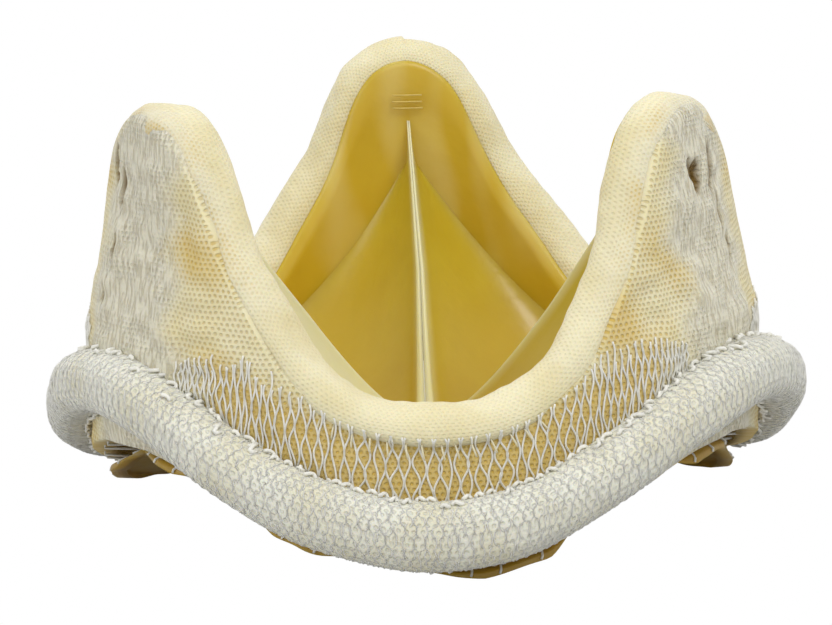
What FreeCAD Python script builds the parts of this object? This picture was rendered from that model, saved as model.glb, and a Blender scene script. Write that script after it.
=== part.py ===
import FreeCAD, Part
import os
from math import acos, atan2, cos, pi, radians, sin, tan

os.makedirs("parts", exist_ok=True)
V = FreeCAD.Vector
UP = V(0, 0, 1)

# A stented tissue heart valve, in mm. The flow axis is Z and the outflow side is up.
# Three posts stand at 90, 210 and 330 degrees, and three scallops dip half way between them.
POST_ANGLES = (90.0, 210.0, 330.0)
SCALLOP_ANGLES = (270.0, 30.0, 150.0)
HALF_SECTOR = 60.0

# Heights of the rail, which is the upper edge of the cloth-covered wall
post_tip_z = 18.5
rail_dip_z = 7.1
# Half the width of a post against the share of the scallop depth that lies above it
POST_OUTLINE = ((2.45, 0.08), (3.85, 0.245), (5.0, 0.455), (6.9, 0.675), (9.8, 0.915))

# Wall layers from the inside out, measured at the height of the base plane
orifice_radius = 11.5
tissue_wall = 0.7
inner_cloth_wall = 0.3
stent_wall = 1.1
outer_cloth_wall = 0.5
layer_gap = 0.05
# The wall leans inward by this much for each mm of height
lean = 0.07

# Inflow edge of the wall, lowest under the scallops and highest under the posts
rim_low_z = 0.2
rim_rise = 3.6
stent_above_rim = 1.6
outer_cloth_above_rim = 0.5

# Hem of cloth folded over the rail, deeper outside than inside
hem_depth = 1.5
hem_inside_depth = 0.9
hem_cloth = 0.3
# Distance from the rail down to the trimmed edge of the tissue
tissue_margin = 1.15

# Sewing ring, whose width is measured outward from the cloth it is sewn to
ring_width = 2.2
ring_low_z = 2.1
ring_rise = 4.6
ring_half_height = 1.45
ring_cover_wall = 0.35

# Leaflets: height of the attached line at its dip, of the free edge at the posts and the centre,
# and of the lips that meet between two leaflets
attach_dip_z = 4.9
commissure_top_z = 15.5
free_edge_dip_z = 3.6
lip_height = 1.6
leaflet_thickness = 0.45
lip_thickness = 0.35
leaflet_gap = 0.16
centre_hole = 0.5

# Metal eyelets set in the posts
eyelet_radius = 0.9
eyelet_bore_radius = 0.4
eyelet_fit = 0.03
eyelet_below_tip = 2.1

# Stitches
thread = 0.16
stitch_lift = 0.03
rail_stitch_on_hem = 1.0
rail_stitch_below_hem = 0.35
ring_stitch_inset = 0.12
ring_stitch_share = 0.72
commissure_stitch_length = 1.4
commissure_stitch_pitch = 0.3
rail_stitches_per_scallop = 12
ring_stitches_per_scallop = 8
rim_stitches_per_scallop = 8

# Radii of the layers, worked out from the stack
tissue_outer = orifice_radius + tissue_wall
inner_cloth_inner = tissue_outer + layer_gap
inner_cloth_outer = inner_cloth_inner + inner_cloth_wall
stent_inner = inner_cloth_outer + layer_gap
stent_outer = stent_inner + stent_wall
outer_cloth_inner = stent_outer + layer_gap
outer_cloth_outer = outer_cloth_inner + outer_cloth_wall
hem_inner = inner_cloth_inner - layer_gap - hem_cloth
hem_outer = outer_cloth_outer + layer_gap + hem_cloth
ring_inner = outer_cloth_outer + layer_gap
ring_outer_radius = ring_inner + ring_width

# Cutters reach from inside the leaning wall to outside it, and above and below it
CUT_INNER = 0.78 * orifice_radius
CUT_OUTER = 1.1 * hem_outer
CUT_OVERRUN = 0.05 * post_tip_z

# Points on the rail from a post to a dip, on a wavy line once round, and across a leaflet
RAIL_STEPS = 5
WAVE_STEPS = 12


def polar(radius, degrees, z):
    return V(radius * cos(radians(degrees)), radius * sin(radians(degrees)), z)


def leaned(radius, z, slope=lean):
    """Radius of a layer at height z, given its radius at the base plane."""
    return radius - slope * z


def wave(degrees):
    """0 at the scallops and 1 at the posts, in a smooth wave."""
    return (1 - cos(radians(3 * (degrees - SCALLOP_ANGLES[0])))) / 2


def rim_z(degrees):
    return rim_low_z + rim_rise * wave(degrees)


def ring_z(degrees):
    return ring_low_z + ring_rise * wave(degrees)


def rail_profile():
    """The rail from a post's tip to the scallop's low point, laid out flat as (half width, height).

    The line is carried on past both ends as its own mirror image, so that it is level there.
    """
    depth = post_tip_z - rail_dip_z
    sector = radians(HALF_SECTOR) * stent_outer
    flank = [V(width, post_tip_z - share * depth, 0) for width, share in POST_OUTLINE]
    tip = V(0, post_tip_z, 0)
    dip = V(sector, rail_dip_z, 0)
    before = [V(-point.x, point.y, 0) for point in reversed(flank)]
    after = [V(2 * sector - point.x, point.y, 0) for point in reversed(flank)]
    curve = Part.BSplineCurve()
    curve.interpolate(before + [tip] + flank + [dip] + after)
    curve.segment(curve.parameter(tip), curve.parameter(dip))
    return curve


RAIL = rail_profile()


def rail_points(margin):
    """(angle, height) pairs once round the valve, on the line that lies margin below the rail."""
    sector = radians(HALF_SECTOR) * stent_outer
    half = [(0.0, post_tip_z - margin)]
    for step in range(1, RAIL_STEPS):
        at = RAIL.FirstParameter + (RAIL.LastParameter - RAIL.FirstParameter) * step / RAIL_STEPS
        along = RAIL.tangent(at)[0]
        moved = RAIL.value(at) + V(along.y, -along.x, 0) * margin
        half.append((HALF_SECTOR * moved.x / sector, moved.y))
    half.append((HALF_SECTOR, rail_dip_z - margin))
    pairs = []
    for post in POST_ANGLES:
        pairs += [(post + angle, z) for angle, z in half[:-1]]
        pairs += [(post + 2 * HALF_SECTOR - angle, z) for angle, z in reversed(half[1:])]
    return pairs


def wave_points(height_at):
    """(angle, height) pairs once round the valve for a line given by a function of the angle."""
    angles = [POST_ANGLES[0] + 360.0 * step / WAVE_STEPS for step in range(WAVE_STEPS)]
    return [(angle, height_at(angle)) for angle in angles]


def closed_line(pairs, radius, slope=lean):
    """Closed smooth curve through (angle, height) pairs, on the leaning surface of one layer."""
    points = [polar(leaned(radius, z, slope), angle, z) for angle, z in pairs]
    turns = [radians(angle) for angle, z in pairs]
    curve = Part.BSplineCurve()
    curve.interpolate(Points=points, PeriodicFlag=True, Parameters=turns + [turns[0] + 2 * pi])
    return curve


def closed_solid(faces):
    shell = Part.makeShell(faces)
    shell.sewShape()
    solid = Part.makeSolid(shell)
    if solid.Volume < 0:
        solid.reverse()
    return solid


def band(corners):
    """Solid whose section has one corner on each closed line of (pairs, radius, slope)."""
    lines = [closed_line(*corner).toShape() for corner in corners]
    return closed_solid([Part.makeRuledSurface(lines[i - 1], lines[i]) for i in range(len(lines))])


def sector_cutters(pairs, height):
    """Three solids that fill everything above (or below) a closed wavy line, one for each scallop."""
    count = len(pairs) // 3
    edges = []
    for radius in (CUT_INNER, CUT_OUTER):
        curve = Part.BSplineCurve()
        curve.interpolate([polar(radius, angle, z) for angle, z in pairs[:count + 1]])
        edges.append(curve.toShape())
    cutter = Part.makeRuledSurface(*edges).extrude(UP * height)
    cutters = []
    for turn in (0, 120, 240):
        copy = cutter.copy()
        copy.rotate(V(0, 0, 0), UP, turn)
        cutters.append(copy)
    return cutters


def cone_wall(inner, outer):
    """Leaning wall between two radii, over more than the full height of the valve."""
    low = -CUT_OVERRUN
    high = post_tip_z + CUT_OVERRUN
    outline = [(inner, low), (outer, low), (outer, high), (inner, high), (inner, low)]
    section = Part.makePolygon([V(leaned(radius, z), 0, z) for radius, z in outline])
    wall = Part.Face(section).revolve(V(0, 0, 0), UP, 360)
    wall.rotate(V(0, 0, 0), UP, POST_ANGLES[0])
    return wall


def layer(inner, outer, top_margin, bottom_at):
    """One layer of the wall, from a wavy line below to the rail line less a margin."""
    wall = cone_wall(inner, outer).cut(sector_cutters(rail_points(top_margin), post_tip_z))
    return wall.cut(sector_cutters(wave_points(bottom_at), -post_tip_z))


def save(name, shape):
    solids = shape.Solids
    print(name, len(solids), round(shape.Volume, 3), shape.isValid())
    shape = solids[0] if len(solids) == 1 else Part.makeCompound(solids)
    shape.exportStep("parts/" + name + ".step")


def post_bore(angle, radius, start_radius, length):
    """Cylinder on the radial axis of a post's eyelet."""
    outward = polar(1, angle, 0)
    start = outward * start_radius + UP * (post_tip_z - eyelet_below_tip)
    return Part.makeCylinder(radius, length, start, outward)


def stent_frame():
    """Flexible frame: a scalloped band with three posts, each bored for its eyelet."""
    frame = layer(
        stent_inner, stent_outer, hem_cloth + layer_gap, lambda angle: rim_z(angle) + stent_above_rim
    )
    for angle in POST_ANGLES:
        frame = frame.cut(post_bore(angle, eyelet_radius + eyelet_fit, orifice_radius / 2, stent_outer))
    return frame


def eyelet(angle):
    """Metal eyelet in the bore of a post, flush within both faces of the leaning wall."""
    z = post_tip_z - eyelet_below_tip
    inset = lean * eyelet_radius + eyelet_fit
    start = leaned(stent_inner, z) + inset
    length = stent_wall - 2 * inset
    body = post_bore(angle, eyelet_radius, start, length)
    return body.cut(post_bore(angle, eyelet_bore_radius, start, length))


def cloth_foot(angle):
    return rim_z(angle) + outer_cloth_above_rim


def outer_cloth():
    return layer(outer_cloth_inner, outer_cloth_outer, hem_cloth + layer_gap, cloth_foot)


def inner_cloth():
    return layer(inner_cloth_inner, inner_cloth_outer, hem_cloth + layer_gap, cloth_foot)


def rail_hem():
    """Cloth hem folded over the rail: a cap with a leg down each side of the wall."""
    core = cone_wall(inner_cloth_inner - layer_gap, outer_cloth_outer + layer_gap)
    core = core.cut(sector_cutters(rail_points(hem_cloth), post_tip_z))
    below_inside_leg = cone_wall(hem_inner - hem_cloth, inner_cloth_inner)
    below_inside_leg = below_inside_leg.cut(sector_cutters(rail_points(hem_inside_depth), post_tip_z))
    hem = cone_wall(hem_inner, hem_outer).cut(sector_cutters(rail_points(0.0), post_tip_z))
    return hem.cut(sector_cutters(rail_points(hem_depth), -post_tip_z)).cut(core).cut(below_inside_leg)


def aortic_wall():
    """Trimmed aortic wall of the donor valve, lining the frame."""
    return layer(orifice_radius, tissue_outer, tissue_margin, rim_z)


def ring_lines(outline, inset):
    """Closed lines along the corners of the sewing ring's section, set in from its surface.

    The ring leans with the wall where it is sewn on, and is upright at its outer edge.
    """
    half = ring_half_height - inset
    inner = ring_inner + inset
    width = ring_width - 2 * inset
    lines = []
    for out, up in outline:
        pairs = wave_points(lambda angle: ring_z(angle) + half * up)
        lines.append((pairs, inner + width * out, lean * (1 - out)))
    return lines


RING_OUTLINE = ((0, 0.92), (0.5, 0.84), (1, 0.1), (0.92, -0.7), (0.4, -1), (0, -0.7))
CORE_OUTLINE = ((0, 0.85), (0.5, 0.75), (1, -0.2), (0.45, -1))


def ring_core():
    return band(ring_lines(CORE_OUTLINE, ring_cover_wall + layer_gap))


def ring_cover():
    """Knitted tube round the core."""
    return band(ring_lines(RING_OUTLINE, 0.0)).cut(band(ring_lines(CORE_OUTLINE, ring_cover_wall)))


def half_space(point, normal):
    """A block that fills the side of a plane that its normal points to."""
    size = 3 * ring_outer_radius
    block = Part.makeBox(size, size, size, V(-size / 2, -size / 2, 0))
    block.Placement = FreeCAD.Placement(point, FreeCAD.Rotation(UP, normal))
    return block


def valve_room(outer, hole):
    """The space inside the leaning wall up to one radius, round a small hole on the axis."""
    low = -CUT_OVERRUN
    high = post_tip_z
    outline = [(hole, low), (leaned(outer, low), low), (leaned(outer, high), high), (hole, high), (hole, low)]
    section = Part.makePolygon([V(radius, 0, z) for radius, z in outline])
    return Part.Face(section).revolve(V(0, 0, 0), UP, 360)


def leaflet_shape():
    """A leaflet whose dip is at +X: part of a tilted cone with an upright lip along its free edge.

    The cone's lowest ruling ends at the dip on the wall, and it meets the neighbours' planes in
    rulings that end at the commissures.
    """
    tip = V(0, 0, free_edge_dip_z - lip_height)
    half = radians(HALF_SECTOR)
    to_dip = polar(leaned(orifice_radius, attach_dip_z), 0, attach_dip_z - tip.z).normalize()
    commissure_z = commissure_top_z - lip_height
    to_post = polar(leaned(orifice_radius, commissure_z), HALF_SECTOR, commissure_z - tip.z).normalize()
    # The axis makes the same angle with both rulings
    elevation = atan2(to_dip.x - to_post.x, to_post.z - to_dip.z)
    axis = V(cos(elevation), 0, sin(elevation))
    opening = acos(axis.dot(to_dip))
    length = 1.6 * orifice_radius

    def cone_at(point):
        cone = Part.makeCone(0, length * tan(opening), length, point, axis)
        cone.rotate(point, axis, 180)
        return cone

    under = cone_at(tip)
    over = cone_at(tip + axis * (leaflet_thickness / sin(opening)))
    lip_top = cone_at(tip + UP * lip_height)
    room = valve_room(orifice_radius - layer_gap, centre_hole)
    lean_back = radians(75)
    room = room.common(half_space(tip, V(sin(lean_back), 0, -cos(lean_back))))
    for side in (-1, 1):
        facing = V(sin(half), -side * cos(half), 0)
        room = room.common(half_space(facing * (leaflet_gap / 2), facing))
    body = under.cut(over).common(room)
    lips = under.cut(lip_top).common(room)
    for side in (-1, 1):
        facing = V(sin(half), -side * cos(half), 0)
        lip = lips.cut(half_space(facing * (leaflet_gap / 2 + lip_thickness), facing))
        body = body.fuse(lip)
    return body.removeSplitter()


def leaflet(angle):
    solid = leaflet_shape()
    solid.rotate(V(0, 0, 0), UP, angle)
    return solid


def stitch(start, end, outward):
    """One stitch: a short flat thread from start to end, lying on the surface that faces outward."""
    along = end - start
    across = outward.cross(along).normalize()
    lift = along.cross(across).normalize()
    bar = Part.makeBox(along.Length, thread, thread)
    corner = start - across * (thread / 2)
    turn = FreeCAD.Rotation(along, across, lift, "XYZ")
    bar.Placement = FreeCAD.Placement(corner, turn)
    return bar


def rail_suture():
    """Whip stitches down the outer leg of the hem onto the cloth below it."""
    radius = hem_outer + stitch_lift
    upper = closed_line(rail_points(rail_stitch_on_hem), radius)
    lower = closed_line(rail_points(hem_depth + rail_stitch_below_hem), radius)
    bars = []
    for number in range(3 * rail_stitches_per_scallop):
        share = (number + 0.5) / (3 * rail_stitches_per_scallop)
        at = upper.FirstParameter + (upper.LastParameter - upper.FirstParameter) * share
        start = upper.value(at)
        bars.append(stitch(start, lower.value(at), V(start.x, start.y, 0).normalize()))
    return Part.makeCompound(bars)


def ring_suture(height_at, radius):
    """Short stitches end to end round the valve at one radius."""
    count = 3 * ring_stitches_per_scallop
    bars = []
    for number in range(count):
        first = 360.0 * number / count
        last = first + 360.0 / count * ring_stitch_share
        start = polar(leaned(radius, height_at(first)), first, height_at(first))
        end = polar(leaned(radius, height_at(last)), last, height_at(last))
        bars.append(stitch(start, end, UP.cross(end - start).negative()))
    return Part.makeCompound(bars)


def ring_upper_suture():
    above = ring_half_height + thread
    return ring_suture(lambda angle: ring_z(angle) + above, ring_inner + ring_stitch_inset)


def ring_lower_suture():
    below = ring_half_height * 0.75 + thread
    return ring_suture(lambda angle: ring_z(angle) - below, ring_inner + ring_stitch_inset)


def inflow_edge_suture():
    """Stitches across the inflow edge, which hold the tissue to the inner and outer cloth."""
    count = 3 * rim_stitches_per_scallop
    bars = []
    for number in range(count):
        angle = 360.0 * (number + 0.5) / count
        z = rim_z(angle) - stitch_lift - thread
        start = polar(leaned(orifice_radius, z) + ring_stitch_inset, angle, z)
        end = polar(leaned(outer_cloth_outer, z) - ring_stitch_inset, angle, z)
        bars.append(stitch(start, end, UP))
    return Part.makeCompound(bars)


def commissure_suture(angle):
    """Three stitches on the inner face of a post, which hold the commissure to the cloth."""
    bars = []
    for number in range(3):
        z = commissure_top_z + commissure_stitch_pitch * (number + 0.8)
        radius = leaned(orifice_radius, z) - 2 * stitch_lift - thread
        outward = polar(1, angle, 0)
        reach = UP.cross(outward) * (commissure_stitch_length / 2)
        middle = outward * radius + UP * z
        bars.append(stitch(middle - reach, middle + reach, outward))
    return Part.makeCompound(bars)


POST_NAMES = ("back", "left", "right")
LEAFLET_NAMES = ("front", "right", "left")

save("stent_frame", stent_frame())
save("outer_cloth", outer_cloth())
save("inner_cloth", inner_cloth())
save("rail_hem", rail_hem())
save("aortic_wall", aortic_wall())
save("ring_core", ring_core())
save("ring_cover", ring_cover())
for name, angle in zip(POST_NAMES, POST_ANGLES):
    save(name + "_post_eyelet", eyelet(angle))
    save(name + "_commissure_suture", commissure_suture(angle))
for name, angle in zip(LEAFLET_NAMES, SCALLOP_ANGLES):
    save(name + "_leaflet", leaflet(angle))
save("rail_suture", rail_suture())
save("ring_upper_suture", ring_upper_suture())
save("ring_lower_suture", ring_lower_suture())
save("inflow_edge_suture", inflow_edge_suture())
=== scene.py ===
import math

import bpy
import numpy as np
from mathutils import Matrix, Vector


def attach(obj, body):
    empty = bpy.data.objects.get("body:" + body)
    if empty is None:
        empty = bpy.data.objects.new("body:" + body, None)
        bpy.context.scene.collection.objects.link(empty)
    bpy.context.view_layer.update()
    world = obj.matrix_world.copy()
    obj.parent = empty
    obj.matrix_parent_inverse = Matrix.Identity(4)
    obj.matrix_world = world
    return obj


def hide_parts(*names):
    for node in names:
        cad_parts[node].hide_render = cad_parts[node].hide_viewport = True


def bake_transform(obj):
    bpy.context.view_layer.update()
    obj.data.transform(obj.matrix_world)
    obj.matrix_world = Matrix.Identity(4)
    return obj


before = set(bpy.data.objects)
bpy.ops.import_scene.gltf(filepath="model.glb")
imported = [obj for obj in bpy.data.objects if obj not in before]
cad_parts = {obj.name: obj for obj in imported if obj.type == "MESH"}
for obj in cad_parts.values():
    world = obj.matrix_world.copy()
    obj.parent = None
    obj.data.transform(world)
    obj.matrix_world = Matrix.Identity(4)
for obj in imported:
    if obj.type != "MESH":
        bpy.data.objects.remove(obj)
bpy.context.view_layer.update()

MM = 0.001
rng = np.random.default_rng(7)

# Sizes in mm, as in the CAD part; the soft rail is drawn up to 0.3 mm fuller
POSTS = (90.0, 210.0, 330.0)
TIP_Z, DIP_Z = 18.65, 6.95
POST_OUTLINE = ((2.75, 0.085), (4.2, 0.25), (5.35, 0.45), (7.3, 0.67), (10.0, 0.908))
LEAN = 0.07
TISSUE_IN, TISSUE_OUT = 11.5, 12.2
LINING_IN, LINING_OUT = 12.25, 12.55
STENT_OUT = 13.7
CLOTH_IN, CLOTH_OUT = 13.75, 14.25
HEM_IN, HEM_OUT = 11.9, 14.6
RING_IN, RING_OUT = 14.3, 16.5
RING_HALF = 1.45
RIM_DIP_Z, RIM_RISE = 0.2, 3.6
RING_DIP_Z, RING_RISE = 2.1, 4.9
RING_SAG, SAG_DEG, SAG_WIDTH_DEG = 0.45, 237, 17
ATTACH_DIP_Z, ATTACH_TOP_Z = 4.9, 13.9
FREE_EDGE_Z = 3.7
# The cloth and its lining end this far above the rim
FOOT_LIFT = 0.5
# The soft posts stand slightly to one side, by SWAY per mm of height above SWAY_FROM_Z
SWAY, SWAY_FROM_Z = 0.05, 9


def wave(deg):
    return (1 - np.cos(np.radians(3 * (deg - 270)))) / 2


def angle_from(deg, start):
    """Signed angle from start, between -180 and 180 degrees."""
    return (deg - start + 180) % 360 - 180


def rim_z(deg):
    return RIM_DIP_Z + RIM_RISE * wave(deg)


def ring_z(deg):
    """Middle of the sewing ring, which sags a little at the left of the front."""
    sag = RING_SAG * np.exp(-(angle_from(deg, SAG_DEG) / SAG_WIDTH_DEG) ** 2)
    return RING_DIP_Z + RING_RISE * wave(deg) - sag


def leaned(radius, z):
    return radius - LEAN * z


def smooth_line(points, count):
    """Points along a natural cubic spline, even in arc length, with its total length."""
    p = np.array(points, float)
    t = np.r_[0, np.cumsum(np.linalg.norm(np.diff(p, axis=0), axis=1))]
    n = len(t)
    h = np.diff(t)
    a = np.eye(n)
    b = np.zeros_like(p)
    for i in range(1, n - 1):
        a[i, i - 1 : i + 2] = h[i - 1], 2 * (h[i - 1] + h[i]), h[i]
        b[i] = 6 * ((p[i + 1] - p[i]) / h[i] - (p[i] - p[i - 1]) / h[i - 1])
    m = np.linalg.solve(a, b)
    x = np.linspace(0, t[-1], 4000)
    k = np.clip(np.searchsorted(t, x, side="right") - 1, 0, n - 2)
    left, right = (t[k + 1] - x)[:, None], (x - t[k])[:, None]
    hk = h[k][:, None]
    y = m[k] * left**3 / (6 * hk) + m[k + 1] * right**3 / (6 * hk)
    y += (p[k] / hk - m[k] * hk / 6) * left + (p[k + 1] / hk - m[k + 1] * hk / 6) * right
    s = np.r_[0, np.cumsum(np.linalg.norm(np.diff(y, axis=0), axis=1))]
    even = np.linspace(0, s[-1], count)
    return np.stack([np.interp(even, s, y[:, i]) for i in range(p.shape[1])], 1), s[-1]


def rail_table():
    """Rail from a post's tip to a dip, flat: (half width, height) at even arc length."""
    depth = TIP_Z - DIP_Z
    sector = math.radians(60) * STENT_OUT
    flank = [(w, TIP_Z - share * depth) for w, share in POST_OUTLINE]
    before = [(-w, z) for w, z in reversed(flank)]
    after = [(2 * sector - w, z) for w, z in reversed(flank)]
    line, length = smooth_line(before + [(0, TIP_Z)] + flank + [(sector, DIP_Z)] + after, 6001)
    first = int(np.argmin(np.abs(line[:, 0])))
    last = int(np.argmin(np.abs(line[:, 0] - sector)))
    return line[first : last + 1], (last - first) * length / 6000, sector


RAIL, HALF_RAIL, SECTOR = rail_table()
RAIL_STEP = np.gradient(RAIL, axis=0)
RAIL_STEP /= np.linalg.norm(RAIL_STEP, axis=1)[:, None]
WHOLE_RAIL = 6 * HALF_RAIL


def rail_at(s, margin):
    """(angle, height) at arc length s round from the back post, margin below the rail."""
    turns = s / (2 * HALF_RAIL)
    post = np.floor(turns + 1e-9)
    part = (turns - post) * 2
    side = part <= 1
    at = np.where(side, part, 2 - part) * (len(RAIL) - 1)
    known = np.arange(len(RAIL))
    x, z, tx, tz = (np.interp(at, known, column) for column in (*RAIL.T, *RAIL_STEP.T))
    offset = 60 * np.clip(x + tz * margin, 0, SECTOR) / SECTOR
    angle = 90 + 120 * post + np.where(side, offset, 120 - offset)
    return angle, z - tx * margin


def place(radius, deg, z):
    a = np.radians(deg)
    return np.stack([radius * np.cos(a), radius * np.sin(a), z + 0 * a], -1)


def rail_post_share(s):
    """1 at the posts' tips and 0 at the dips, by arc length along the rail."""
    return (1 + np.cos(np.pi * s / HALF_RAIL)) / 2


def hills(u, v, scale, seed, count=24):
    """Smooth seeded unevenness between about -1 and 1, from a few waves."""
    r = np.random.default_rng(seed)
    total = 0
    for _ in range(count):
        direction = r.uniform(0, math.pi)
        k = 2 * math.pi / scale * r.uniform(0.5, 1.6)
        phase = r.uniform(0, 6.28)
        along = u * math.cos(direction) + v * math.sin(direction)
        total = total + np.sin(k * along + phase)
    return total / math.sqrt(count)


def make(name, points, faces, body="stent", slot=None, material=None, uv=None, **masks):
    """A mesh object from points in mm, with per-corner UVs in mm and per-point masks."""
    points = np.array(points, float)
    points[:, 0] -= SWAY * np.maximum(points[:, 2] - SWAY_FROM_Z, 0)
    mesh = bpy.data.meshes.new(name)
    mesh.from_pydata((points * MM).tolist(), [], [list(map(int, f)) for f in faces])
    mesh.polygons.foreach_set("use_smooth", [True] * len(mesh.polygons))
    if uv is not None:
        layer = mesh.uv_layers.new(name="UVMap")
        layer.data.foreach_set("uv", np.asarray(uv, np.float32).ravel())
    for mask, values in masks.items():
        layer = mesh.attributes.new(mask, "FLOAT", "POINT")
        layer.data.foreach_set("value", np.asarray(values, np.float32).ravel())
    mesh.update()
    piece = bpy.data.objects.new(name, mesh)
    bpy.context.scene.collection.objects.link(piece)
    if material:
        mesh.materials.append(material)
    if body:
        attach(piece, body)
    return piece


def grid_faces(rows, cols, close_cols, flip=False):
    """Quads of a grid whose last row meets its first, and each corner's (row, column)."""
    last_col = cols if close_cols else cols - 1
    r, c = np.meshgrid(np.arange(rows), np.arange(last_col), indexing="ij")
    r, c = r.ravel(), c.ravel()
    corners = [(r, c), (r, c + 1), (r + 1, c + 1), (r + 1, c)]
    if flip:
        corners = corners[::-1]
    faces = np.stack([(a % rows) * cols + b % cols for a, b in corners], 1)
    grid = np.stack([np.stack(corner, -1) for corner in corners], 1)
    return faces, grid


def tube(name, points, u, v, flip=False, **options):
    """Closed body from a grid of points: rows round its section, columns round the valve."""
    rows, cols = points.shape[:2]
    faces, grid = grid_faces(rows, cols, True, flip)
    row, col = grid[..., 0], grid[..., 1]
    uv = np.stack([np.broadcast_to(w, (rows + 1, cols + 1))[row, col] for w in (u, v)], -1)
    return make(name, points.reshape(-1, 3), faces, uv=uv.reshape(-1, 2), **options)


def wall(name, inner, outer, s, top_margin, bottom, share, dent=None, inset=None, masks=None,
         **options):
    """Closed layer of the wall: rows run down its outside, under its foot and up its inside.

    Dents, insets and masks are functions of angle, height and share of the way down.
    """
    top_deg, top_z = rail_at(s, top_margin)
    low_z = bottom(top_deg)
    share = share[:, None]
    z = top_z * (1 - share) + low_z * share
    deg = np.broadcast_to(top_deg, z.shape)
    out_r = leaned(outer, z)
    if dent is not None:
        out_r = out_r + dent(deg, z, share)
    outside = place(out_r, deg, z)
    in_r = leaned(inner, z)
    if inset is not None:
        in_r = in_r + inset(deg, z, share)
    inside = place(in_r, deg, z)[::-1]
    points = np.concatenate([outside, inside])
    u = np.radians(np.r_[top_deg, top_deg[:1] + 360]) * STENT_OUT
    v = np.concatenate([z, z[::-1], z[:1]])
    v = np.concatenate([v, v[:, :1]], 1)
    for mask, values in (masks or {}).items():
        there = np.broadcast_to(values(deg, z, share), z.shape)
        options[mask] = np.concatenate([there, there[::-1]])
    return tube(name, points, u[None, :], v, flip=True, **options)


def round_thread(paths, radius, sides=6, closed=False):
    """Points and faces of thin tubes along many paths: paths is (many, steps, 3) in mm."""
    paths = np.asarray(paths, float)
    many, steps = paths.shape[:2]
    if closed:
        ahead, behind = np.roll(paths, -1, 1), np.roll(paths, 1, 1)
    else:
        ahead = np.concatenate([paths[:, 1:], 2 * paths[:, -1:] - paths[:, -2:-1]], 1)
        behind = np.concatenate([2 * paths[:, :1] - paths[:, 1:2], paths[:, :-1]], 1)
    along = ahead - behind
    along /= np.linalg.norm(along, axis=-1, keepdims=True)
    middle = paths.mean(1, keepdims=True)
    out = middle * np.array([1, 1, 0.3])
    out = np.broadcast_to(out / np.linalg.norm(out, axis=-1, keepdims=True), paths.shape)
    side = np.cross(along, out)
    side /= np.linalg.norm(side, axis=-1, keepdims=True)
    up = np.cross(side, along)
    turn = np.linspace(0, 2 * math.pi, sides, endpoint=False)[:, None]
    spoke = side[:, :, None] * np.cos(turn) + up[:, :, None] * np.sin(turn)
    ring = paths[:, :, None] + radius * spoke
    step = np.arange(steps if closed else steps - 1)
    k = np.arange(sides)
    a, b = np.meshgrid(step, k, indexing="ij")
    a, b = a.ravel(), b.ravel()
    here, there, beside = a * sides, (a + 1) % steps * sides, (b + 1) % sides
    one = np.stack([there + b, there + beside, here + beside, here + b], 1)
    first = (np.arange(many) * steps * sides)[:, None]
    faces = (one[None] + first[:, None]).reshape(-1, 4).tolist()
    if not closed:
        faces += (first + k).tolist() + (first + (steps - 1) * sides + k[::-1]).tolist()
    return ring.reshape(-1, 3), faces


def threads(name, paths, radius, closed=False, sides=6, **options):
    points, faces = round_thread(paths, radius, sides, closed)
    return make(name, points, faces, **options)


# Materials

def new_material(name):
    material = bpy.data.materials.new(name)
    material.use_nodes = True
    nodes = material.node_tree.nodes
    return material, nodes, material.node_tree.links, nodes["Principled BSDF"]


def feed(links, socket, value):
    """Gives a socket its input: another node's output, or a constant."""
    if isinstance(value, bpy.types.NodeSocket):
        links.new(value, socket)
    else:
        socket.default_value = value


def mix(nodes, links, factor, first, second):
    """A colour mix."""
    node = nodes.new("ShaderNodeMix")
    node.data_type = "RGBA"
    for socket, value in (("Factor", factor), ("A", first), ("B", second)):
        feed(links, node.inputs[socket], value)
    return node.outputs["Result"]


def maths(nodes, links, operation, *values):
    node = nodes.new("ShaderNodeMath")
    node.operation = operation
    for socket, value in zip(node.inputs, values):
        feed(links, socket, value)
    return node.outputs[0]


def multiply(nodes, links, first, second):
    return maths(nodes, links, "MULTIPLY", first, second)


def ramp(nodes, links, value, low, high):
    node = nodes.new("ShaderNodeMapRange")
    node.interpolation_type = "SMOOTHSTEP"
    links.new(value, node.inputs["Value"])
    node.inputs["From Min"].default_value = low
    node.inputs["From Max"].default_value = high
    return node.outputs["Result"]


def noise(nodes, links, vector, scale, detail=3.0, stretch=None):
    if stretch:
        mapping = nodes.new("ShaderNodeMapping")
        mapping.inputs["Scale"].default_value = stretch
        links.new(vector, mapping.inputs["Vector"])
        vector = mapping.outputs["Vector"]
    node = nodes.new("ShaderNodeTexNoise")
    links.new(vector, node.inputs["Vector"])
    node.inputs["Scale"].default_value = scale
    node.inputs["Detail"].default_value = detail
    return node.outputs["Fac"]


def knit_height(nodes, links, vector, pitch):
    """Loops of a knit on a hexagonal lattice: 0 in the holes and 1 on the threads."""
    total = None
    for degrees in (90, 210, 330):
        node = nodes.new("ShaderNodeVectorMath")
        node.operation = "DOT_PRODUCT"
        links.new(vector, node.inputs[0])
        k = 2 * math.pi / (pitch * math.cos(math.radians(30)))
        a = math.radians(degrees)
        node.inputs[1].default_value = (k * math.cos(a), k * math.sin(a), 0)
        wave_node = maths(nodes, links, "COSINE", node.outputs["Value"])
        total = wave_node if total is None else maths(nodes, links, "ADD", total, wave_node)
    return ramp(nodes, links, total, 2.6, -0.6)


def attribute(nodes, name):
    node = nodes.new("ShaderNodeAttribute")
    node.attribute_name = name
    return node.outputs["Fac"]


def add_bump(nodes, links, shader, height, distance, strength=1.0):
    bump = nodes.new("ShaderNodeBump")
    bump.inputs["Distance"].default_value = distance
    bump.inputs["Strength"].default_value = strength
    links.new(height, bump.inputs["Height"])
    links.new(bump.outputs["Normal"], shader.inputs["Normal"])


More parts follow.
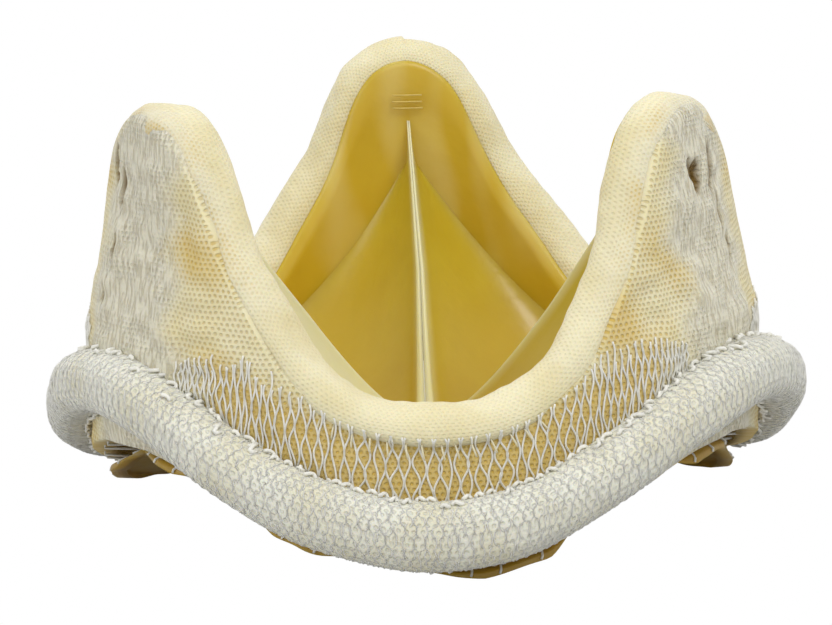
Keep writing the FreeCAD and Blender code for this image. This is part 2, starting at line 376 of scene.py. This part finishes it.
def darker(colour, red, green, blue):
    """A colour with each of its channels times a factor."""
    return colour[0] * red, colour[1] * green, colour[2] * blue, 1


def cloth_material(name, cream, gap, pitch, streaks=0.0, hole_shade=0.3, relief_mm=0.05):
    """Knitted cloth: cream threads over a golden ground, which shows where the mask is high."""
    material, nodes, links, shader = new_material(name)
    uv = nodes.new("ShaderNodeUVMap")
    uv.uv_map = "UVMap"
    coordinate = nodes.new("ShaderNodeTexCoord")
    wobble = nodes.new("ShaderNodeTexNoise")
    links.new(uv.outputs["UV"], wobble.inputs["Vector"])
    wobble.inputs["Scale"].default_value = 0.9
    shifted = nodes.new("ShaderNodeVectorMath")
    shifted.operation = "MULTIPLY_ADD"
    links.new(wobble.outputs["Color"], shifted.inputs[0])
    shifted.inputs[1].default_value = (0.3, 0.3, 0)
    links.new(uv.outputs["UV"], shifted.inputs[2])
    height = knit_height(nodes, links, shifted.outputs["Vector"], pitch)
    patchy = noise(nodes, links, coordinate.outputs["Object"], 420.0)
    tint = ramp(nodes, links, patchy, 0.35, 0.7)
    base = mix(nodes, links, tint, cream, darker(cream, 0.93, 0.9, 0.8))
    pale = attribute(nodes, "white")
    base = mix(nodes, links, pale, base, FIBRE)
    # The knit wears away under the loose strands
    bare = ramp(nodes, links, noise(nodes, links, uv.outputs["UV"], 0.7), 0.6, 0.42)
    worn = multiply(nodes, links, pale, bare)
    clear = maths(nodes, links, "SUBTRACT", 1.0, multiply(nodes, links, worn, 0.8))
    mask = attribute(nodes, "mask")
    hole = multiply(nodes, links, maths(nodes, links, "SUBTRACT", 1.0, height), clear)
    shows = multiply(nodes, links, hole, mask)
    shaded = mix(nodes, links, multiply(nodes, links, hole, hole_shade), base,
                 darker(cream, 0.6, 0.6, 0.6))
    colour = mix(nodes, links, shows, shaded, gap)
    ground = maths(nodes, links, "POWER", mask, 2.5)
    colour = mix(nodes, links, multiply(nodes, links, ground, 0.75), colour, gap)
    relief = multiply(nodes, links, height, clear)
    if streaks:
        # Painted shade: the streaks turn darker where their relief sinks, as shade in the grooves
        # between the loose strands
        strand = noise(nodes, links, uv.outputs["UV"], 1.0, 4.0, (8.0, 1.3, 1))
        strand = multiply(nodes, links, ramp(nodes, links, strand, 0.47, 0.64), pale)
        colour = mix(nodes, links, multiply(nodes, links, strand, streaks), colour, STREAK_GROOVE_SHADE)
        relief = maths(nodes, links, "SUBTRACT", relief, multiply(nodes, links, strand, 0.9))
    # Painted shade: the torn holes get a dark colour, partly the backing that shows through and
    # partly the shade inside them
    colour = mix(nodes, links, attribute(nodes, "torn"), colour, TORN_BACKING_AND_SHADE)
    links.new(colour, shader.inputs["Base Color"])
    shader.inputs["Roughness"].default_value = 0.8
    shader.inputs["Specular IOR Level"].default_value = 0.2
    shader.inputs["Sheen Weight"].default_value = 0.15
    shader.inputs["Subsurface Weight"].default_value = 0.25
    shader.inputs["Subsurface Radius"].default_value = (0.0008, 0.0006, 0.0003)
    shader.inputs["Subsurface Scale"].default_value = 1.0
    add_bump(nodes, links, shader, relief, relief_mm * MM)
    return material


def tissue_material(name, gold, pale, dark, rough=0.28):
    material, nodes, links, shader = new_material(name)
    coordinate = nodes.new("ShaderNodeTexCoord")
    broad = noise(nodes, links, coordinate.outputs["Object"], 170.0, 4.0)
    fine = noise(nodes, links, coordinate.outputs["Object"], 900.0, 3.0)
    colour = mix(nodes, links, ramp(nodes, links, broad, 0.35, 0.68), gold, dark)
    colour = mix(nodes, links, attribute(nodes, "mask"), colour, pale)
    # The tissue's foot is darkened: partly its own brown cut edge and partly painted shade under
    # the sewing ring
    colour = mix(nodes, links, attribute(nodes, "brown"), colour, EDGE_BROWN_AND_SHADE)
    links.new(colour, shader.inputs["Base Color"])
    shader.inputs["Roughness"].default_value = rough
    shader.inputs["Subsurface Weight"].default_value = 0.35
    shader.inputs["Subsurface Radius"].default_value = (0.0015, 0.0011, 0.0003)
    shader.inputs["Subsurface Scale"].default_value = 1.0
    shader.inputs["Coat Weight"].default_value = 0.08
    shader.inputs["Coat Roughness"].default_value = 0.15
    add_bump(nodes, links, shader, fine, 0.00004)
    return material


def thread_material(name, colour, see_through=0.0):
    material, nodes, links, shader = new_material(name)
    coordinate = nodes.new("ShaderNodeTexCoord")
    grain = noise(nodes, links, coordinate.outputs["Object"], 2600.0, 2.0)
    grey = darker(colour, 0.86, 0.86, 0.86)
    tone = mix(nodes, links, ramp(nodes, links, grain, 0.3, 0.7), colour, grey)
    links.new(tone, shader.inputs["Base Color"])
    shader.inputs["Roughness"].default_value = 0.55
    shader.inputs["Subsurface Weight"].default_value = 0.3 + see_through
    shader.inputs["Subsurface Radius"].default_value = (0.0006, 0.0006, 0.0005)
    shader.inputs["Subsurface Scale"].default_value = 1.0
    shader.inputs["Sheen Weight"].default_value = 0.2
    add_bump(nodes, links, shader, grain, 0.00002)
    return material


CREAM = (0.77, 0.71, 0.475, 1)
FIBRE = (0.70, 0.665, 0.53, 1)
WHITE = (0.84, 0.83, 0.75, 1)
GOLD_GAP = (0.60, 0.41, 0.09, 1)
RING_CREAM, RING_GAP = (0.76, 0.75, 0.64, 1), (0.4, 0.35, 0.2, 1)
GOLD, AMBER, PALE = (0.59, 0.41, 0.02, 1), (0.54, 0.36, 0.014, 1), (0.86, 0.79, 0.42, 1)
# The streaks' dark colour is painted shade in the grooves between the loose strands
# The torn holes' dark colour is partly the backing that shows through and partly painted shade
# inside the holes
STREAK_GROOVE_SHADE, TORN_BACKING_AND_SHADE = (0.36, 0.29, 0.15, 1), (0.17, 0.10, 0.02, 1)
# Foot colour: partly the cut edge's own brown and partly painted shade under the ring
EDGE_BROWN_AND_SHADE = (0.30, 0.17, 0.02, 1)
hem_cloth = cloth_material("hem_cloth", CREAM, GOLD_GAP, 0.23, 0.1, hole_shade=0.12,
                           relief_mm=0.025)
wall_cloth = cloth_material("wall_cloth", CREAM, GOLD_GAP, 0.25, 0.4, hole_shade=0.35)
ring_cloth = cloth_material("ring_cloth", RING_CREAM, RING_GAP, 0.3)
tissue = tissue_material("leaflet_tissue", GOLD, PALE, AMBER, 0.36)
wall_tissue = tissue_material("wall_tissue", GOLD, PALE, AMBER, 0.42)
white_thread = thread_material("white_thread", WHITE)
cream_thread = thread_material("cream_thread", CREAM)
ring_thread = thread_material("ring_thread", (0.84, 0.83, 0.73, 1), 0.25)
sponge = thread_material("sponge_grain", (0.72, 0.70, 0.62, 1))


def plain_material(name, colour, rough, metallic):
    material, nodes, links, shader = new_material(name)
    coordinate = nodes.new("ShaderNodeTexCoord")
    grain = noise(nodes, links, coordinate.outputs["Object"], 1800.0, 3.0)
    tone = mix(nodes, links, grain, colour, darker(colour, 0.85, 0.85, 0.85))
    links.new(tone, shader.inputs["Base Color"])
    shader.inputs["Roughness"].default_value = rough
    shader.inputs["Metallic"].default_value = metallic
    add_bump(nodes, links, shader, grain, 0.00001)
    return material


frame_plastic = plain_material("frame_plastic", (0.84, 0.82, 0.76, 1), 0.4, 0.0)
eyelet_metal = plain_material("eyelet_metal", (0.56, 0.56, 0.55, 1), 0.3, 1.0)


def carry(node, material):
    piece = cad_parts[node]
    piece.data.materials.clear()
    piece.data.materials.append(material)


carry("stent_frame", frame_plastic)
carry("ring_core", sponge)
for side in ("back", "left", "right"):
    carry(side + "_post_eyelet", eyelet_metal)

# Cloth hem over the rail, soft and rounded
HEM_SIDES, HEM_GIRTH = 40, 8.0
HEM_DEPTH, HEM_INSIDE_DEPTH, HEM_TIP_INSIDE = 1.75, 1.1, 0.6
HEM_MIDDLE, HEM_HALF = (HEM_IN + HEM_OUT) / 2, (HEM_OUT - HEM_IN) / 2 - 0.02
# The hem is widest this far below the rail
HEM_WIDEST = 0.95
around = np.linspace(0, WHOLE_RAIL, 960, endpoint=False)
section = np.linspace(0, 2 * math.pi, HEM_SIDES, endpoint=False)


def hem_points(s, turn):
    """Rounded fold over the rail: turn 0 is outside, a quarter the top and a half inside."""
    c, n = np.cos(turn), np.sin(turn)
    swell = 0.08 * hills(s, 3 * c, 5.0, 11) + 0.02 * hills(s, 2 * c, 1.4, 12)
    top = HEM_WIDEST
    inside = HEM_INSIDE_DEPTH + HEM_TIP_INSIDE * np.clip(rail_post_share(s) * 5 - 4, 0, 1)
    depth = inside + (HEM_DEPTH - inside) * (1 + c) / 2
    margin = np.where(n >= 0, top - (top + 0.02 + swell) * n, top - (depth - top) * n)
    reach = np.sign(c) * np.abs(c) ** 0.75 * (HEM_HALF + swell * 0.6)
    deg, z = rail_at(s, margin)
    return place(leaned(HEM_MIDDLE + reach, z), deg, z)


along, turned = np.broadcast_arrays(around[None, :], section[:, None])
hem = hem_points(along, turned)
outside = np.clip(np.cos(turned) * 1.5, 0, 1)
hem_gold = 0.75 * np.clip((rail_post_share(along) - 0.3) * 2.0, 0, 1) * outside
hem_gold = hem_gold * np.clip(0.55 + 0.6 * hills(along, 2 * turned, 4.0, 13), 0.1, 1)
hem_piece = tube("hem_cover", hem, np.r_[around, WHOLE_RAIL][None, :],
                 np.linspace(0, HEM_GIRTH, HEM_SIDES + 1)[:, None],
                 body="stent", slot="cloth", material=hem_cloth, mask=hem_gold,
                 white=0.6 * outside * rail_post_share(along))
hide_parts("rail_hem")


# Outer cloth on the posts and round the wall
# Each torn spot's angle, height, half width and half height
TORN_SPOTS = ((200, 15.9, 0.24, 0.7), (203.5, 15.1, 0.18, 0.7), (204, 12.6, 0.10, 0.5),
              (201, 10.6, 0.09, 0.4), (326.5, 15.7, 0.16, 0.4), (328.5, 15.3, 0.30, 0.65),
              (334.5, 15.5, 0.32, 0.85), (336, 13.6, 0.12, 0.8), (338.5, 11.9, 0.10, 0.6))


def torn_spots(deg, z):
    """1 in the small holes that wear has opened near the posts' tops."""
    total = 0 * z
    for at, height, wide, tall in TORN_SPOTS:
        across = np.radians(angle_from(deg, at)) * STENT_OUT
        frayed = 1 + 0.35 * np.sin(across * 31 + z * 2.0)
        total = total + np.exp(-((across / wide) ** 2 + ((z - height) / tall) ** 2) ** 2) * frayed
    return np.clip(total, 0, 1)


def hem_bulge(margin):
    """How far the hem's outside stands out of its middle radius, by distance below the rail."""
    below = margin - HEM_WIDEST
    n = np.where(below < 0, -below / (HEM_WIDEST + 0.02), below / (HEM_DEPTH - HEM_WIDEST))
    return HEM_HALF * np.sqrt(np.clip(1 - n**2, 0, 1)) ** 0.75


def cloth_margin(s):
    """The cloth reaches nearly to the rail on the posts and ends under the hem at the dips."""
    return 1.0 - 0.62 * np.clip(rail_post_share(s) * 2.2 - 0.5, 0, 1)


def cloth_puff(deg, z, share):
    """How far the cloth stands off: flush with the hem on the posts, and loose at their feet."""
    u = np.radians(deg) * STENT_OUT
    post = wave(deg)
    flush = (HEM_OUT - CLOTH_OUT + 0.03) * np.clip(post * 1.8, 0, 1)
    left = np.exp(-(angle_from(deg, 200) / 26) ** 2)
    foot = (0.5 + 0.35 * left) * post * np.exp(-(((z - 8.2) / 3.2) ** 2))
    foot = foot + 0.25 * left * np.minimum(1, 3 * share)
    strands = 0.010 * hills(u * 2.6, z * 0.4, 3.0, 5) + 0.010 * hills(u * 6.0, z * 1.2, 3.0, 8)
    lumps = 0.11 * hills(u, z, 5.0, 6) + 0.05 * hills(u, z, 1.8, 7)
    uneven = (strands * fibrous(deg, z, share) + lumps) * np.minimum(1, 6 * share) * post
    return flush + foot + uneven - 0.42 * torn_spots(deg, z)


def fibrous(deg, z, share):
    """1 on the posts' outer faces, where the knit has turned to loose white strands."""
    across = np.abs((deg - 90 + 60) % 120 - 60) / 180 * math.pi * STENT_OUT
    edge = 2.6 + 0.05 * (TIP_Z - z) + 0.6 * hills(np.radians(deg) * 3, z, 3.0, 9)
    return np.clip((edge - across) / 1.6 + 0.5, 0, 1)


def cloth_gold(deg, z, share):
    """Where the tissue shows through: on the flanks of the posts, and behind the open mesh."""
    post = wave(deg)
    u = np.radians(deg) * STENT_OUT
    flank = (1 - fibrous(deg, z, share)) * np.clip((z - 6.5) / 3, 0, 1)
    flank = flank * np.clip(post * 3 - 0.6, 0, 1)
    patch = np.clip(0.5 + 0.7 * hills(u, z, 5.0, 21), 0, 1)
    drop = z - (ring_z(deg) + RING_HALF)
    mesh_band = np.clip((3.6 - drop) / 1.8, 0, 1) * np.clip((0.95 - post) / 0.25, 0, 1)
    return np.maximum(flank * (0.3 + 0.6 * patch), mesh_band)


def cloth_rounding(deg, z, share):
    """Takes the cloth's top edge in over the hem's round shoulder."""
    margin = cloth_margin(around)[None, :] + share * (TIP_Z - 4)
    shoulder = HEM_MIDDLE + hem_bulge(np.minimum(margin, HEM_WIDEST)) - HEM_OUT + 0.02
    return cloth_puff(deg, z, share) + shoulder


# Mask for the torn holes' dark colour, which is partly the backing and partly painted shade inside
# the holes
def torn_shade_colour(deg, z, share):
    return np.clip(2.5 * torn_spots(deg, z), 0, 1)


def cloth_foot(deg):
    return rim_z(deg) + FOOT_LIFT


cloth_rows = np.r_[np.linspace(0, 0.1, 16, endpoint=False), np.linspace(0.1, 1, 90)]
outer_cloth = wall("outer_cloth_cover", CLOTH_IN, CLOTH_OUT, around, cloth_margin(around),
                   cloth_foot, cloth_rows, dent=cloth_rounding,
                   masks={"mask": cloth_gold, "torn": torn_shade_colour, "white": fibrous}, body="stent",
                   slot="cloth", material=wall_cloth)
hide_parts("outer_cloth")
lining = wall("inner_lining", LINING_IN, LINING_OUT, around[::2], 0.45, cloth_foot,
              np.linspace(0, 1, 16), body="stent", slot="cloth", material=hem_cloth)
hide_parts("inner_cloth")


# Tissue wall inside the frame, with a ragged foot
def lobes(deg):
    """0 to 1: how far each lobe of the tissue's cut edge stands out."""
    u = np.radians(deg) * TISSUE_OUT
    return np.clip(0.55 + 0.55 * hills(u, 0 * u, 7.0, 33), 0, 1)


def ragged_foot(deg):
    u = np.radians(deg) * TISSUE_OUT
    return rim_z(deg) - 0.1 - 0.32 * lobes(deg) + 0.05 * hills(u, 0 * u, 2.0, 31)


def foot_flare(deg, z, share):
    """The cut edge turns out under the ring."""
    down = np.clip((rim_z(deg) + 0.4 - z) / 0.6, 0, 1)
    return (0.9 + 0.9 * lobes(deg)) * down**2 * (3 - 2 * down)


def wall_pale(deg, z, share):
    streak = hills(np.radians(deg) * TISSUE_IN, z * 0.25, 2.4, 41)
    return np.clip(0.05 + 0.14 * streak, 0, 0.5)


def thin_top(deg, z, share):
    """The tissue thins out to meet the inside of the hem."""
    return 0.3 * np.clip(1 - share / 0.12, 0, 1) ** 2 + foot_flare(deg, z, share)


# Darker towards the foot: partly the cut edge's own brown and partly painted shade under the
# sewing ring
def brown_shaded_foot(deg, z, share):
    return 0.75 * np.clip((rim_z(deg) + 0.5 - z) / 0.5, 0, 1)


tissue_rows = np.r_[np.linspace(0, 0.82, 44, endpoint=False), np.linspace(0.82, 1, 26)]
tissue_wall = wall("aortic_tissue", TISSUE_IN, TISSUE_OUT, around[::2], 0.8, ragged_foot,
                   tissue_rows, dent=foot_flare, inset=thin_top,
                   masks={"mask": wall_pale, "brown": brown_shaded_foot},
                   body="stent", slot="tissue", material=wall_tissue)
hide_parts("aortic_wall")

# Sewing ring: a plump knitted tube
RING_COLS, RING_ROWS = 900, 48
RING_MIDDLE, RING_GIRTH = 15.4, 8.2
ring_deg = np.linspace(90, 450, RING_COLS, endpoint=False)
ring_turn = np.linspace(0, 2 * math.pi, RING_ROWS, endpoint=False)


def ring_points(deg, turn, lift=0.0):
    """Surface of the sewing ring: turn 0 is outward, a quarter is up."""
    c, n = np.cos(turn), np.sin(turn)
    middle = (RING_IN + RING_OUT) / 2 + 0.05
    swell = 0.05 * hills(np.radians(deg) * RING_OUT, 2 * n, 6.0, 51)
    wide = (RING_OUT - RING_IN) / 2 + lift + swell
    high = RING_HALF * (1 - 0.07 * wave(deg)) + lift + swell
    reach = np.sign(c) * np.abs(c) ** 0.85 * wide
    rise = np.sign(n) * np.abs(n) ** 0.85 * high
    z = ring_z(deg) + rise
    slope = LEAN * (1 - np.clip((middle + reach - RING_IN) / (RING_OUT - RING_IN), 0, 1))
    return place(middle + reach - slope * z, deg, z)


ring = ring_points(*np.broadcast_arrays(ring_deg, ring_turn[:, None]))
ring_piece = tube("sewing_ring_cover", ring,
                  np.radians(np.r_[ring_deg, 450])[None, :] * RING_MIDDLE,
                  np.linspace(0, RING_GIRTH, RING_ROWS + 1)[:, None], body="stent",
                  slot="ring_knit", material=ring_cloth)
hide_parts("ring_cover")

# Loops of the ring's knit
LOOP_COLS, LOOP_ROWS = 216, 20
loop_c, loop_r = np.meshgrid(np.arange(LOOP_COLS), np.arange(LOOP_ROWS), indexing="ij")
loop_deg = 90 + 360 * (loop_c + 0.5 * (loop_r % 2)) / LOOP_COLS + rng.normal(0, 0.22, loop_c.shape)
loop_turn = 2 * math.pi * loop_r / LOOP_ROWS + rng.normal(0, 0.035, loop_c.shape)
loop_deg += 0.5 * hills(loop_c * 0.45, loop_r * 0.45, 5.0, 61)
shown = np.cos(loop_turn) > -0.45
loop_deg, loop_turn = loop_deg[shown], loop_turn[shown]
step = np.linspace(0, 2 * math.pi, 12, endpoint=False)
loops = ring_points(
    loop_deg[:, None] + 0.50 * 360 / LOOP_COLS * np.cos(step),
    loop_turn[:, None] + 0.66 * 2 * math.pi / LOOP_ROWS * np.sin(step),
    -0.012 + 0.022 * np.cos(2 * step),
)
threads("sewing_ring_loops", loops, 0.031, closed=True, sides=5, body="stent",
        slot="ring_knit", material=ring_thread)

# Open mesh above the ring: upright threads that waver to meet their neighbours
BAND_HEIGHT, BAND_TOP, THREAD_PITCH = 3.4, 1.05, 0.25
band_s = np.arange(0, WHOLE_RAIL - 0.1, THREAD_PITCH)
band_s = band_s + rng.normal(0, 0.03, band_s.shape)
down = np.linspace(0, 1, 22)


def mesh_threads():
    parity = np.where(np.arange(len(band_s)) % 2, 1, -1)
    deg, _ = rail_at(band_s, BAND_TOP)
    reach = BAND_HEIGHT * np.sqrt(np.clip((0.93 - wave(deg)) / 0.4, 0, 1))
    reach = reach * rng.uniform(0.8, 1.1, deg.shape)
    kept = reach > 1.2
    rows = 2.9 + rng.uniform(-0.5, 0.7, deg.shape)
    bend = parity[:, None] * np.sin(np.pi * (rows[:, None] * down + 0.15))
    away = band_s[:, None] + 0.5 * THREAD_PITCH * bend * rng.uniform(0.6, 1.3, deg.shape)[:, None]
    deg, hem_z = rail_at(away, BAND_TOP)
    low = ring_z(deg) + RING_HALF - 0.35
    high = np.clip(hem_z, low, low + reach[:, None])
    z = high + (low - high) * down
    cloth = CLOTH_OUT + cloth_puff(deg, z, np.full(z.shape, 0.5))
    hem = HEM_MIDDLE + hem_bulge(np.clip(BAND_TOP + hem_z - z, HEM_WIDEST, HEM_DEPTH))
    r = np.maximum(cloth, hem) + 0.02 + 0.03 * np.abs(bend)
    return place(leaned(r, z), deg, z)[kept]


threads("open_mesh_threads", mesh_threads(), 0.045, body="stent", slot="cloth",
        material=white_thread)


# Stitches
def rail_stitches():
    s = np.arange(0.2, WHOLE_RAIL, 0.62)
    s = s + rng.normal(0, 0.06, s.shape)
    t = np.linspace(0, 1, 7)
    margin = 1.35 + 0.6 * t
    path_s = s[:, None] + 0.12 * t
    deg, z = rail_at(path_s, margin)
    lift = HEM_OUT - 0.16 + 0.10 * np.sin(np.pi * t)
    return place(leaned(lift, z), deg, z)


stitches = threads("rail_stitches", rail_stitches(), 0.04, body="stent", slot="thread",
                   material=cream_thread)
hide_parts("rail_suture")


def ring_row(count, at_turn, lift, wobble):
    """A row of short stitches round the ring, at one turn of its section."""
    deg = 90 + 360 * (np.arange(count) + rng.normal(0, 0.08, count)) / count
    t = np.linspace(0, 1, 7)
    path = deg[:, None] + 360 / count * rng.uniform(0.5, 0.95, count)[:, None] * t
    turn = at_turn + rng.normal(0, wobble, count)[:, None]
    turn = turn + rng.normal(0, 0.12, count)[:, None] * np.sin(2 * np.pi * t)
    return ring_points(path, turn, lift + 0.12 * np.sin(np.pi * t))


upper = threads("ring_upper_stitches", ring_row(190, math.radians(98), 0.02, 0.2), 0.085,
                body="stent", slot="thread", material=white_thread)
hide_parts("ring_upper_suture")
lower = threads("ring_lower_stitches", ring_row(130, math.radians(247), 0.03, 0.05), 0.07,
                body="stent", slot="thread", material=white_thread)
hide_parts("ring_lower_suture")


def rim_stitches():
    """Stitches from the tissue's turned edge up to the cloth."""
    count = 66
    deg = 90 + 360 * (np.arange(count) + rng.normal(0, 0.15, count)) / count
    t = np.linspace(0, 1, 10)
    low, high = ragged_foot(deg)[:, None] + 0.08, rim_z(deg)[:, None] + 0.9
    z = low + (high - low) * t
    flare = foot_flare(deg[:, None], z, t)
    over_cloth = np.where(z > rim_z(deg)[:, None] + 0.45, CLOTH_OUT + 0.04, 0)
    r = np.maximum(TISSUE_OUT + 0.05 + flare, over_cloth)
    return place(leaned(r, z), deg[:, None] + 2.0 * t, z)


rim = threads("inflow_stitches", rim_stitches(), 0.055, body="stent", slot="thread",
              material=white_thread)
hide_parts("inflow_edge_suture")


gold_thread = thread_material("gold_thread", (0.62, 0.46, 0.10, 1))
COMMISSURE_Z, COMMISSURE_STEP, COMMISSURE_R = 15.75, 0.3, 10.5


def commissure_stitches(angle):
    t = np.linspace(-1, 1, 9)
    rows = np.arange(3)[:, None]
    z = COMMISSURE_Z + COMMISSURE_STEP * rows + 0 * t
    r = leaned(TISSUE_IN, z) - 0.16 - 0.06 * (1 - t**2)
    return place(r, angle + np.degrees(0.7 * t / COMMISSURE_R), z)


for side, angle in zip(("back", "left", "right"), POSTS):
    piece = threads(side + "_commissure_stitches", commissure_stitches(angle), 0.04, body="stent",
                    slot="thread", material=gold_thread)
    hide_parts(side + "_commissure_suture")

# Leaflets
LEAF_COLS, LEAF_ROWS = 161, 44
THICK = 0.32
LIP_REACH = 10.5


def leaflet_grid(drop, seed):
    """A leaflet whose dip is at angle 0; drop is the thickness under its upper surface."""
    share = np.linspace(-1, 1, LEAF_COLS)
    size = np.abs(share)
    deg = 60 * share
    z = ATTACH_DIP_Z + (ATTACH_TOP_Z - ATTACH_DIP_Z) * size**2.1
    start = place(leaned(TISSUE_IN + 0.1, z), deg, z)
    rho = 0.12 + LIP_REACH * size**1.15
    free_z = FREE_EDGE_Z + np.sqrt(25 + (1.5 * rho) ** 2) - 5
    # Near the centre the free edge rounds the corner between the two lips
    side = 60.0 * np.clip(share / 0.05, -1, 1)
    lip = 0 * size + 0.004 if drop else 0.07 + 0.33 * (1 - size) ** 1.5
    end = place(rho, side, free_z) + place(1.0, -side / 2, 0 * side) * lip[:, None]
    reach = np.linalg.norm(end - start, axis=1)[:, None]
    inward = (end - start) * np.array([1, 1, 0])
    first = start + 0.04 * inward - np.array([0, 0, 0.36]) * reach
    second = end - np.array([0, 0, 1]) * (2.4 - 0.6 * size)[:, None] - 0.12 * inward
    b = np.linspace(0, 1, LEAF_ROWS)[:, None, None]
    body = (1 - b) ** 3 * start + 3 * b * (1 - b) ** 2 * first
    body = body + 3 * b**2 * (1 - b) * second + b**3 * end
    t = b[..., 0]
    body[..., 2] -= drop * (1 - t**3)
    fold = 0.07 * np.sin(9 * share + seed)[None, :] * np.sin(np.pi * t) ** 2
    body[..., 2] += fold * (1 - size[None, :])
    return body


def pale_lips(points, side_reach):
    """Pale tissue near the free edges; side_reach is its width in mm at each of the two."""
    x, y = points[..., 0], points[..., 1]
    away = x * math.sin(math.radians(60)) - np.abs(y) * math.cos(math.radians(60))
    spread = 1 - np.clip(np.hypot(x, y) / LIP_REACH, 0, 1)
    wide = np.where(y < 0, side_reach[0], side_reach[1]) * (0.25 + 0.75 * spread)
    return np.clip(1.25 - away / wide, 0, 1) ** 1.3


def leaflet(name, node, angle, seed, side_reach):
    upper = leaflet_grid(0.0, seed)
    under = leaflet_grid(THICK, seed)
    points = np.concatenate([upper, under[::-1]])
    pale = pale_lips(points, side_reach)
    a = math.radians(angle)
    turn = np.array([[math.cos(a), -math.sin(a), 0], [math.sin(a), math.cos(a), 0], [0, 0, 1]])
    points = points @ turn.T
    rows, cols = points.shape[:2]
    faces, _ = grid_faces(rows, cols, False)
    ends = []
    for col in (0, cols - 1):
        ring_ids = [row * cols + col for row in range(rows)]
        ends.append(ring_ids if col else ring_ids[::-1])
    piece = make(name, points.reshape(-1, 3), faces.tolist() + ends, body=None, slot="tissue",
                 material=tissue, mask=pale)
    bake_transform(piece)
    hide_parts(node)


for name, angle, seed, reach in (("front", 270.0, 0.4, (5.0, 0.5)),
                                 ("right", 30.0, 2.0, (0.45, 0.7)),
                                 ("left", 150.0, 3.6, (0.5, 0.7))):
    leaflet(name + "_cusp", name + "_leaflet", angle, seed, reach)

# Camera, lights and floor
DISTANCE, TARGET_Z = 200.0, 8.6
CAMERA_RISE, CAMERA_SIDE, CAMERA_ROLL = 11.3, 1.9, -0.75
FOCAL_PIXELS, WIDTH_PIXELS, HEIGHT_PIXELS = 4587.0, 832.0, 625.0
MIDDLE_X, MIDDLE_Y = 425.0, 306.0
SENSOR = 36.0
e, d = math.radians(CAMERA_RISE), math.radians(CAMERA_SIDE)
camera_data = bpy.data.cameras.new("camera")
camera_data.lens = FOCAL_PIXELS / WIDTH_PIXELS * SENSOR
camera_data.sensor_width = SENSOR
camera_data.clip_start = 0.001
camera_data.shift_x = (WIDTH_PIXELS / 2 - MIDDLE_X) / WIDTH_PIXELS
camera_data.shift_y = (MIDDLE_Y - HEIGHT_PIXELS / 2) / WIDTH_PIXELS
camera = bpy.data.objects.new("camera", camera_data)
bpy.context.scene.collection.objects.link(camera)
camera.location = Vector((-DISTANCE * math.cos(e) * math.sin(d),
                          -DISTANCE * math.cos(e) * math.cos(d),
                          TARGET_Z + DISTANCE * math.sin(e))) * MM
look = Vector((0, 0, TARGET_Z * MM)) - camera.location
turn = look.to_track_quat("-Z", "Y").to_matrix().to_4x4()
roll = Matrix.Rotation(math.radians(CAMERA_ROLL), 4, "Z")
camera.matrix_world = Matrix.Translation(camera.location) @ turn @ roll
bpy.context.scene.camera = camera


LIGHT_TARGET_Z, WORLD_STRENGTH = 6, 0.72


def area_light(name, place_mm, size_mm, watts):
    data = bpy.data.lights.new(name, "AREA")
    data.shape = "DISK"
    data.size = size_mm * MM
    data.energy = watts
    lamp = bpy.data.objects.new(name, data)
    bpy.context.scene.collection.objects.link(lamp)
    lamp.location = Vector(place_mm) * MM
    aim = Vector((0, 0, LIGHT_TARGET_Z * MM)) - lamp.location
    lamp.rotation_euler = aim.to_track_quat("-Z", "Y").to_euler()


area_light("key", (80, -110, 210), 110, 0.26)
area_light("left", (-170, -110, 70), 130, 0.09)
area_light("back", (-30, 150, 160), 110, 0.07)
world = bpy.data.worlds.new("world")
bpy.context.scene.world = world
world.use_nodes = True
w_nodes, w_links = world.node_tree.nodes, world.node_tree.links
w_nodes["Background"].inputs["Color"].default_value = (1, 1, 1, 1)
w_nodes["Background"].inputs["Strength"].default_value = WORLD_STRENGTH

FLOOR_HALF, FLOOR_Z = 0.6, -0.0006
floor_mesh = bpy.data.meshes.new("floor")
floor_corners = [(FLOOR_HALF * x, FLOOR_HALF * y, 0)
                 for x, y in ((-1, -1), (1, -1), (1, 1), (-1, 1))]
floor_mesh.from_pydata(floor_corners, [], [(0, 1, 2, 3)])
floor = bpy.data.objects.new("floor", floor_mesh)
bpy.context.scene.collection.objects.link(floor)
floor_material, f_nodes, f_links, f_shader = new_material("floor_white")
f_shader.inputs["Base Color"].default_value = (0.55, 0.55, 0.55, 1)
f_shader.inputs["Roughness"].default_value = 0.9
white = f_nodes.new("ShaderNodeEmission")
white.inputs["Strength"].default_value = 1.0
path = f_nodes.new("ShaderNodeLightPath")
blend_node = f_nodes.new("ShaderNodeMixShader")
f_links.new(path.outputs["Is Camera Ray"], blend_node.inputs["Fac"])
f_links.new(f_shader.outputs["BSDF"], blend_node.inputs[1])
f_links.new(white.outputs["Emission"], blend_node.inputs[2])
f_links.new(blend_node.outputs["Shader"], f_nodes["Material Output"].inputs["Surface"])
floor_mesh.materials.append(floor_material)
floor.location.z = FLOOR_Z

# The camera sees plain white behind the part
w_path = w_nodes.new("ShaderNodeLightPath")
w_white = w_nodes.new("ShaderNodeBackground")
w_white.inputs["Color"].default_value = (1, 1, 1, 1)
w_mix = w_nodes.new("ShaderNodeMixShader")
w_links.new(w_path.outputs["Is Camera Ray"], w_mix.inputs["Fac"])
w_links.new(w_nodes["Background"].outputs["Background"], w_mix.inputs[1])
w_links.new(w_white.outputs["Background"], w_mix.inputs[2])
w_links.new(w_mix.outputs["Shader"], w_nodes["World Output"].inputs["Surface"])
bpy.context.scene.view_settings.view_transform = "Standard"
